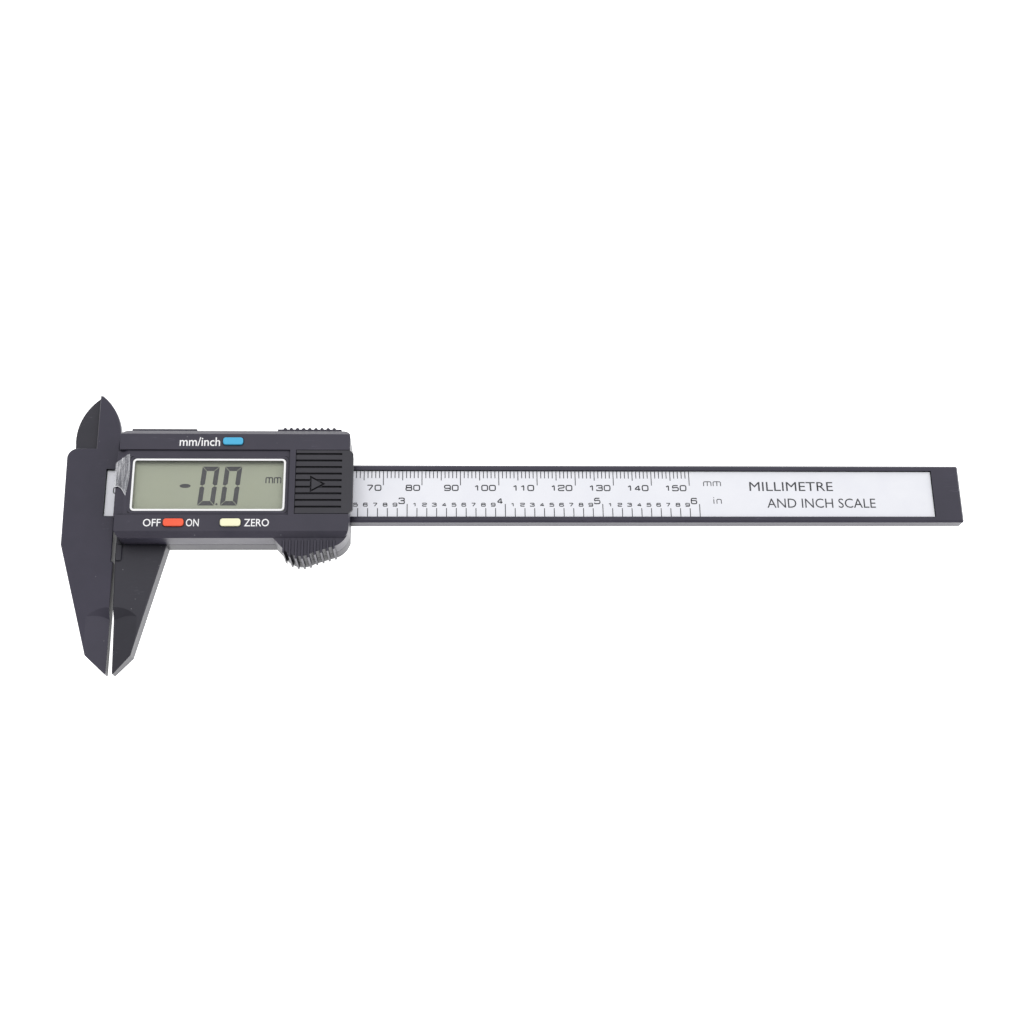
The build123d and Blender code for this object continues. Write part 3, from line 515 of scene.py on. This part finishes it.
NODE_FINISHES = {
    BEAM: ["beam"],
    BODY: ["front_cover"],
    FRAME: ["slider_frame"],
    DOOR: ["battery_cover"],
    ROD: ["depth_rod"],
    PAPER: ["scale_label"],
    BOARD: ["scale_board", "circuit_board"],
    LENS: ["display_window"],
    BACKING: ["lcd_front_glass", "lcd_rear_glass", "lcd_reflector"],
    RUBBER: ["zebra_strips"],
    POTTING: ["chip_blob"],
    CERAMIC: ["capacitors"],
    TIN: ["crystal", "key_domes"],
    RED: ["button_power"],
    YELLOW: ["button_zero"],
    BLUE: ["button_unit"],
    STEEL: ["battery_cell"],
    BRONZE: ["battery_contact_negative", "battery_contact_positive", "gib_spring"],
    ZINC: ["housing_screws", "board_screws", "rod_screw"],
    FILM: ["protective_film"],
}
for finish, nodes in NODE_FINISHES.items():
    for node in nodes:
        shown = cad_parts[node]
        shown.data.materials.clear()
        shown.data.materials.append(finish)

# ------------------------------------------------------------------ printed scale

TICK_WIDTH = 0.22 * MM
MM_TICK, FIVE_TICK, TEN_TICK = 1.9 * MM, 2.5 * MM, 3.85 * MM
TENTH_TICK, INCH_TICK = 2.3 * MM, 3.45 * MM
FIRST_TICK, LAST_TICK = 3, 150              # millimetres that are printed
FIRST_TENTH, LAST_TENTH = 2, 60             # tenths of an inch that are printed
TICK_MARGIN = 0.05 * MM
INCH = 25.4 * MM

# Width, height and stroke of the numerals.
TENS_NUMERAL = (1.48 * MM, 1.42 * MM, 0.31 * MM)
INCH_NUMERAL = (1.38 * MM, 1.48 * MM, 0.3 * MM)
TENTH_NUMERAL = (1.0 * MM, 0.84 * MM, 0.23 * MM)
# A numeral's right edge to its tick, and its middle to where the ticks start.
TENS_GAP, HUNDREDS_GAP, TENS_INSET = 0.63 * MM, 0.95 * MM, 4.58 * MM
INCH_GAP, INCH_INSET = 0.72 * MM, 4.3 * MM
TENTH_GAP, TENTH_INSET = 0.1 * MM, 3.25 * MM

# The zero and the units: right edge from the measuring plane, middle from the centre
# line, size of a letter, and the gap between letters as a share of their width.
SCALE_LETTERS = [
    ("0", 0.1 * MM, 0.85 * MM, (1.7 * MM, 1.55 * MM, 0.27 * MM), 0.36),
    ("mm", 155.7 * MM, 2.85 * MM, (1.95 * MM, 1.2 * MM, 0.22 * MM), 0.3),
    ("in", 155.6 * MM, -2.05 * MM, (1.15 * MM, 1.2 * MM, 0.22 * MM), 0.2),
]
# Words: left and right edge from the measuring plane, lower and upper from the centre line.
SCALE_WORDS = [
    ("MILLIMETRE", 163.3 * MM, 185.5 * MM, 0.9 * MM, 3.4 * MM),
    ("AND INCH SCALE", 167.7 * MM, 196.5 * MM, -3.8 * MM, -1.2 * MM),
]

# Wide, square-shouldered numerals: strokes on a box one wide and one high.
NUMERALS = {
    "0": [([(0, 0), (1, 0), (1, 1), (0, 1)], True)],
    "1": [([(0.2, 0.72), (0.62, 1), (0.62, 0)], False)],
    "2": [([(0, 0.74), (0, 1), (1, 1), (1, 0.56), (0.02, 0.44), (0, 0), (1, 0)], False)],
    "3": [([(0.03, 0.8), (0.03, 1), (0.97, 1), (0.97, 0.53), (0.3, 0.53)], False),
          ([(0.4, 0.53), (1, 0.53), (1, 0), (0, 0), (0, 0.22)], False)],
    "4": [([(0.74, 0), (0.74, 1), (0, 0.25), (1, 0.25)], False)],
    "5": [([(0.94, 1), (0.04, 1), (0, 0.5), (0.4, 0.62), (1, 0.62), (1, 0), (0, 0), (0, 0.2)], False)],
    "6": [([(0.96, 0.82), (0.96, 1), (0, 1), (0, 0), (1, 0), (1, 0.58), (0.02, 0.58)], False)],
    "7": [([(0, 1), (1, 1), (0.3, 0)], False)],
    "8": [([(0.05, 0.54), (0.95, 0.54), (0.95, 1), (0.05, 1)], True),
          ([(0, 0), (1, 0), (1, 0.54), (0, 0.54)], True)],
    "9": [([(0.04, 0.18), (0.04, 0), (1, 0), (1, 1), (0, 1), (0, 0.42), (0.98, 0.42)], False)],
    "m": [([(0, 0), (0, 1), (1, 1), (1, 0)], False), ([(0.5, 1), (0.5, 0)], False)],
    "n": [([(0, 0), (0, 1), (1, 1), (1, 0)], False)],
    "i": [([(0.5, 0), (0.5, 1)], False), ([(0.5, 1.28), (0.5, 1.44)], False)],
}


def wide_text(words, right, middle, size, low, gap=0.36):
    """Wide numerals written leftwards from their right edge: strokes, as a list of parts."""
    width, height, pen = size
    parts = []
    pitch = width * (1 + gap)
    for count, letter in enumerate(reversed(words)):
        left = right - width - count * pitch
        for path, closed in NUMERALS[letter]:
            shape = np.array(path) * [width, height] + [left, middle - height / 2]
            shape = rounded(shape, 0.3 * min(width, height), closed)
            parts.append(stroke(shape, pen, low, low + PRINT, closed))
    return parts


def tick(x, start, length, low):
    """An upright tick at x, from its start at the label's edge; a negative length hangs down."""
    ends = sorted([start, start + length])
    half = TICK_WIDTH / 2
    outline = [(x - half, ends[0]), (x + half, ends[0]), (x + half, ends[1]), (x - half, ends[1])]
    return plate(outline, low, low + PRINT)


def print_millimetres(low):
    """Ticks from the label's upper edge, longer at fives and tens, and the tens' numerals."""
    edge = LABEL_HIGH[1] - TICK_MARGIN
    parts = []
    for count in range(FIRST_TICK, LAST_TICK + 1):
        length = TEN_TICK if count % 10 == 0 else FIVE_TICK if count % 5 == 0 else MM_TICK
        parts.append(tick(SCALE_ZERO + count * MM, edge, -length, low))
    for count in range(10, LAST_TICK + 1, 10):
        right = SCALE_ZERO + count * MM - (TENS_GAP if count < 100 else HUNDREDS_GAP)
        parts += wide_text(str(count), right, edge - TENS_INSET, TENS_NUMERAL, low)
    return parts


def print_inches(low):
    """Ticks from the label's lower edge each tenth of an inch, with small and large numerals."""
    edge = LABEL_LOW[1] + TICK_MARGIN
    parts = []
    for count in range(FIRST_TENTH, LAST_TENTH + 1):
        inches, tenths = divmod(count, 10)
        x = SCALE_ZERO + count * INCH / 10
        if tenths:
            parts.append(tick(x, edge, TENTH_TICK, low))
            parts += wide_text(str(tenths), x - TENTH_GAP, edge + TENTH_INSET, TENTH_NUMERAL, low)
        else:
            parts.append(tick(x, edge, INCH_TICK, low))
            parts += wide_text(str(inches), x - INCH_GAP, edge + INCH_INSET, INCH_NUMERAL, low)
    return parts


def print_scale():
    """Both scales, their zero and units, and two lines of words, in one layer of ink."""
    low = LABEL_TOP
    parts = print_millimetres(low) + print_inches(low)
    for words, right, middle, size, gap in SCALE_LETTERS:
        parts += wide_text(words, MEASURE_X + right, CENTRE_Y + middle, size, low, gap)
    for words, left, right, bottom, top in SCALE_WORDS:
        parts.append(lettering(
            words, MEASURE_X + left, MEASURE_X + right, CENTRE_Y + bottom, CENTRE_Y + top, low,
        ))
    points, faces = joined(parts)
    piece("scale_print", points, faces, INK, "beam", "scale_print")


print_scale()

# ------------------------------------------------------------------ printing on the cover

BORDER_WIDTH = 0.5 * MM
BORDER_CORNER = 0.9 * MM
BORDER_OVER = 0.03 * MM                     # border beyond the window, over the lens's rim
WORD_BOLD = 0.008                           # letters thickened, as a share of their size


def print_cover():
    """White words beside the buttons, about as high as the buttons' caps."""
    power_left, power_right = POWER_LOW[0] + CAP_FLANGE, POWER_HIGH[0] - CAP_FLANGE
    bottom, top = POWER_LOW[1] + CAP_FLANGE, POWER_HIGH[1] - CAP_FLANGE
    zero_right = ZERO_HIGH[0] - CAP_FLANGE
    unit_left = UNIT_LOW[0] + CAP_FLANGE
    unit_bottom, unit_top = UNIT_LOW[1] + CAP_FLANGE, UNIT_HIGH[1] - CAP_FLANGE
    words = [
        ("OFF", power_left - 4.95 * MM, power_left - 0.6 * MM, bottom, top),
        ("ON", power_right + 0.55 * MM, power_right + 3.75 * MM, bottom, top),
        ("ZERO", zero_right + 0.85 * MM, zero_right + 7.05 * MM, bottom, top),
        (
            "mm/inch", unit_left - 10.95 * MM, unit_left - 0.75 * MM,
            unit_bottom - 0.25 * MM, unit_top + 0.15 * MM,
        ),
    ]
    points, faces = joined([lettering(*word, FACE, bold=WORD_BOLD) for word in words])
    piece("cover_print", points, faces, WHITE_INK, "slider", "scale_print")


def window_line(inset, width, corner):
    """A flat line on the lens, a rounded rectangle that far inside its edge."""
    left, right = LENS_LOW[0] + inset, LENS_HIGH[0] - inset
    bottom, top = LENS_LOW[1] + inset, LENS_HIGH[1] - inset
    square = [(left, bottom), (right, bottom), (right, top), (left, top)]
    path = rounded(square, corner, closed=True, steps=8)
    return stroke(path, width, LENS_TOP, LENS_TOP + PRINT, closed=True)


def print_border():
    """White line round the display, and a dark band from it to the lens's edge."""
    inset = LENS_RIM + BORDER_WIDTH / 2 - BORDER_OVER
    band = inset - BORDER_WIDTH / 2
    white = window_line(inset, BORDER_WIDTH, BORDER_CORNER)
    dark = window_line(band / 2, band, BORDER_CORNER)
    piece("display_border", *white, WHITE_INK, "slider", "scale_print")
    piece("display_surround", *dark, BODY, "slider", "scale_print")


print_cover()
print_border()

# ------------------------------------------------------------------ display segments

DIGIT_HEIGHT = 10.5 * MM
DIGIT_WIDTH = 4.3 * MM
SEGMENT_WIDTH = 1.2 * MM
SEGMENT_GAP = 0.05 * MM
DIGIT_SLANT = 0.085
DISPLAY_Y = CENTRE_Y - 0.1 * MM
FIRST_DIGIT = MEASURE_X + 20.9 * MM         # lower left corner of the first digit
SECOND_DIGIT = MEASURE_X + 26.6 * MM
MINUS_X, MINUS_SIZE = MEASURE_X + 17.65 * MM, (2.8 * MM, 1.1 * MM)
POINT_X, POINT_SIZE = MEASURE_X + 25.75 * MM, (0.55 * MM, 0.6 * MM)
POINT_DROP = 4.9 * MM                       # point below the digits' middle
UNIT_LETTERS = (MEASURE_X + 37.9 * MM, MEASURE_X + 40.0 * MM)
UNIT_BASE = CENTRE_Y + 0.65 * MM
UNIT_LETTER, UNIT_PEN = (1.65 * MM, 1.5 * MM), 0.3 * MM


def zero_digit(left, low):
    """The six lit segments of a zero: mitred bars along a box, sheared to the right."""
    width, half, pen, gap = DIGIT_WIDTH, DIGIT_HEIGHT / 2, SEGMENT_WIDTH, SEGMENT_GAP
    bar = np.array([
        (2 * gap, half), (width - 2 * gap, half),
        (width - pen - gap, half - pen), (pen + gap, half - pen),
    ])
    post = np.array([
        (0, half - 2 * gap), (pen, half - pen - 2 * gap),
        (pen, pen * 0.45), (pen / 2, gap), (0, pen * 0.3),
    ])
    shapes = [bar, bar * [1, -1]]
    for side_y in (1, -1):
        shapes += [post * [1, side_y], np.array([width, 0]) + post * [-1, side_y]]
    parts = []
    for shape in shapes:
        x = left + shape[:, 0] + DIGIT_SLANT * (shape[:, 1] + half)
        outline = np.column_stack([x, shape[:, 1] + DISPLAY_Y])
        turn = np.roll(outline, -1, axis=0)
        area = np.sum(outline[:, 0] * turn[:, 1] - turn[:, 0] * outline[:, 1])
        parts.append(plate(outline if area > 0 else outline[::-1], low, low + PRINT))
    return parts


def oval(middle_x, middle_y, width, height, low):
    """A flat ellipse of ink."""
    turn = np.linspace(0, 2 * math.pi, 24, endpoint=False)
    outline = np.column_stack([middle_x + width / 2 * np.cos(turn), middle_y + height / 2 * np.sin(turn)])
    return plate(outline, low, low + PRINT)


def show_reading():
    """Minus sign, two zeros, their point and the unit, on the front glass."""
    low = GLASS_TOP
    parts = zero_digit(FIRST_DIGIT, low) + zero_digit(SECOND_DIGIT, low)
    parts.append(oval(MINUS_X, DISPLAY_Y, *MINUS_SIZE, low))
    parts.append(oval(POINT_X, DISPLAY_Y - POINT_DROP, *POINT_SIZE, low))
    for left in UNIT_LETTERS:
        for path, closed in NUMERALS["m"]:
            shape = rounded(np.array(path) * UNIT_LETTER + [left, UNIT_BASE], UNIT_PEN, closed)
            parts.append(stroke(shape, UNIT_PEN, low, low + PRINT, closed))
    points, faces = joined(parts)
    piece("display_reading", points, faces, SEGMENT, "slider", "lcd_glass")


show_reading()

# ------------------------------------------------------------------ protective film

FILM_THICKNESS = 0.02 * MM
FILM_LIFT = 0.05 * MM                       # over the panel and the nose
FILM_ROWS, FILM_COLUMNS = 36, 56

# Lower and upper end of the peeled corner's free edge, and of the edge held at the panel,
# in millimetres from the measuring plane and the centre line.
FREE_EDGE = np.array([(0.05, -0.7), (0.0, 5.8)])
HELD_EDGE = np.array([(3.15, -3.2), (3.5, 8.15)])
NOSE_LENGTH, NOSE_DROP = 2.9, 1.0           # millimetres
LOWER_RIM_HIGHLIGHT, FREE_RIM_HIGHLIGHT = 0.05, 0.04            # bright rims of painted highlight, as shares of the film


def sheet(surface, rows, columns, thickness):
    """A closed sheet: surface(u, v) gives its upper side for u and v from 0 to 1, as arrays."""
    u, v = np.meshgrid(np.linspace(0, 1, columns), np.linspace(0, 1, rows))
    upper = np.stack(surface(u.ravel(), v.ravel()), axis=1)
    lower = upper - [0, 0, thickness]
    count = rows * columns
    faces = grid_faces(rows, columns)
    faces += [[index + count for index in face[::-1]] for face in grid_faces(rows, columns)]
    index = np.arange(count).reshape(rows, columns)
    rim_highlight = np.concatenate([index[0, :], index[1:, -1], index[-1, -2::-1], index[-2:0:-1, 0]])
    after = np.roll(rim_highlight, -1)
    faces += np.column_stack([after, rim_highlight, rim_highlight + count, after + count]).tolist()
    return np.vstack([upper, lower]), faces


def peeled_tab(u, v):
    """The peeled corner: a patch between four corners, draped over the sloping nose.

    u runs from its free edge to the panel and v upwards. Its height is that of the nose,
    1 mm below the panel at the free end, plus a lift that dies out at the panel and
    creases that are sharp folds, as the distance of a slanted line from whole numbers.
    """
    free = FREE_EDGE[0][:, None] * (1 - v) + FREE_EDGE[1][:, None] * v
    held = HELD_EDGE[0][:, None] * (1 - v) + HELD_EDGE[1][:, None] * v
    x, y = free * (1 - u) + held * u
    x = x + 0.5 * np.sin(math.pi * v) * u
    y = y + 1.0 * np.sin(math.pi * u) * (1 - v) ** 2
    nose = -NOSE_DROP * np.clip((NOSE_LENGTH - x) / NOSE_LENGTH, 0, 1)
    fold = np.abs((3.1 * u + 0.5 * v) % 1 - 0.5) * 2
    ripple = np.abs((7.3 * u - 0.8 * v + 0.3) % 1 - 0.5) * 2
    creases = (0.22 * fold + 0.08 * ripple) * np.sin(math.pi * u) ** 0.5
    lift = (1 - u) * (0.28 + 0.12 * np.sin(5 * v)) + creases
    return MEASURE_X + x * MM, CENTRE_Y + y * MM, LENS_TOP + FILM_LIFT + (nose + lift) * MM


def lay_film():
    """The protective film where it has come away; "rim", its painted edge highlight, is 1 at its lower edge,
    0.6 at its free one.
    """
    points, faces = sheet(peeled_tab, FILM_ROWS, FILM_COLUMNS, FILM_THICKNESS)
    film = piece("peeled_film", points, faces, FILM, "slider", "film")
    u, v = np.meshgrid(np.linspace(0, 1, FILM_COLUMNS), np.linspace(0, 1, FILM_ROWS))
    rim_highlight = np.maximum(np.clip(1 - v / LOWER_RIM_HIGHLIGHT, 0, 1), 0.6 * np.clip(1 - u / FREE_RIM_HIGHLIGHT, 0, 1)).ravel()
    film.data.attributes.new("rim_highlight", "FLOAT", "POINT").data.foreach_set("value", np.tile(rim_highlight, 2))
    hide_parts("protective_film")


lay_film()

# ------------------------------------------------------------------ floor, light and camera

FLOOR_REACH = 3.0                           # from the middle to each side
FLOOR_GLOW, FLOOR_BEHIND = 1.2, 0.45        # glow in front, and the share of it behind
SKY = 0.78                                  # strength overhead
SKY_LEAN = (0.4 * SKY, 0.45 * SKY, 0)       # brighter towards +X and +Y
LAMP_SIZE, LAMP_WATTS = (0.7, 0.5), 3.2
LAMP_PLACE, LAMP_TURN = (-0.1, 0.45, 1.0), (-24, -6, 0)
CAMERA_PLACE = (MEASURE_X + 81.88 * MM, CENTRE_Y - 125.03 * MM, 349.45 * MM)
CAMERA_TURN = (19.19, -2.79, -0.95)         # degrees
CAMERA_LENS, CAMERA_SENSOR = 49.7, 36.0     # millimetres


def lay_floor():
    """A pale floor that glows, less behind the beam than in front of it."""
    mesh = bpy.data.meshes.new("floor")
    square = np.array([(-1, -1, 0), (1, -1, 0), (1, 1, 0), (-1, 1, 0)]) * FLOOR_REACH
    mesh.from_pydata(square.tolist(), [], [(0, 1, 2, 3)])
    floor = bpy.data.objects.new("floor", mesh)
    bpy.context.scene.collection.objects.link(floor)
    material, net, shader = new_material("floor_white")
    shader.inputs["Base Color"].default_value = (0.9, 0.9, 0.9, 1)
    shader.inputs["Roughness"].default_value = 0.9
    shader.inputs["Specular IOR Level"].default_value = 0.1
    shader.inputs["Emission Color"].default_value = (1, 1, 1, 1)
    at = net.add("ShaderNodeSeparateXYZ", Vector=net.add("ShaderNodeTexCoord").outputs["Object"])
    glow = net.spread(at.outputs["Y"], 0.01, 0.06, FLOOR_GLOW, FLOOR_BEHIND * FLOOR_GLOW)
    net.feed(shader.inputs["Emission Strength"], glow)
    mesh.materials.append(material)


def light_sky():
    """Soft white light from all round: the strength is SKY plus the direction along SKY_LEAN."""
    world = bpy.data.worlds.new("studio")
    world.use_nodes = True
    net = Net(world.node_tree)
    direction = net.add("ShaderNodeTexCoord").outputs["Generated"]
    lean = net.add("ShaderNodeVectorMath", {"operation": "DOT_PRODUCT"}, _0=direction, _1=SKY_LEAN)
    background = world.node_tree.nodes["Background"]
    background.inputs["Color"].default_value = (1, 1, 1, 1)
    net.feed(background.inputs["Strength"], net.math("ADD", lean.outputs["Value"], SKY))
    bpy.context.scene.world = world


def hang_lamp():
    """A broad lamp above and behind the beam, kept out of reflections."""
    data = bpy.data.lights.new("softbox", "AREA")
    data.shape = "RECTANGLE"
    data.size, data.size_y = LAMP_SIZE
    data.energy = LAMP_WATTS
    lamp = bpy.data.objects.new("softbox", data)
    lamp.location = LAMP_PLACE
    lamp.rotation_euler = [math.radians(turn) for turn in LAMP_TURN]
    lamp.visible_glossy = False
    bpy.context.scene.collection.objects.link(lamp)


def set_camera():
    """Looks down at the display from the side of the outside jaws, 19 degrees off upright."""
    data = bpy.data.cameras.new("camera")
    data.sensor_width = CAMERA_SENSOR
    data.lens = CAMERA_LENS
    camera = bpy.data.objects.new("camera", data)
    camera.location = CAMERA_PLACE
    camera.rotation_euler = [math.radians(turn) for turn in CAMERA_TURN]
    bpy.context.scene.collection.objects.link(camera)
    bpy.context.scene.camera = camera


lay_floor()
light_sky()
hang_lamp()
set_camera()
bpy.context.scene.view_settings.view_transform = "Standard"
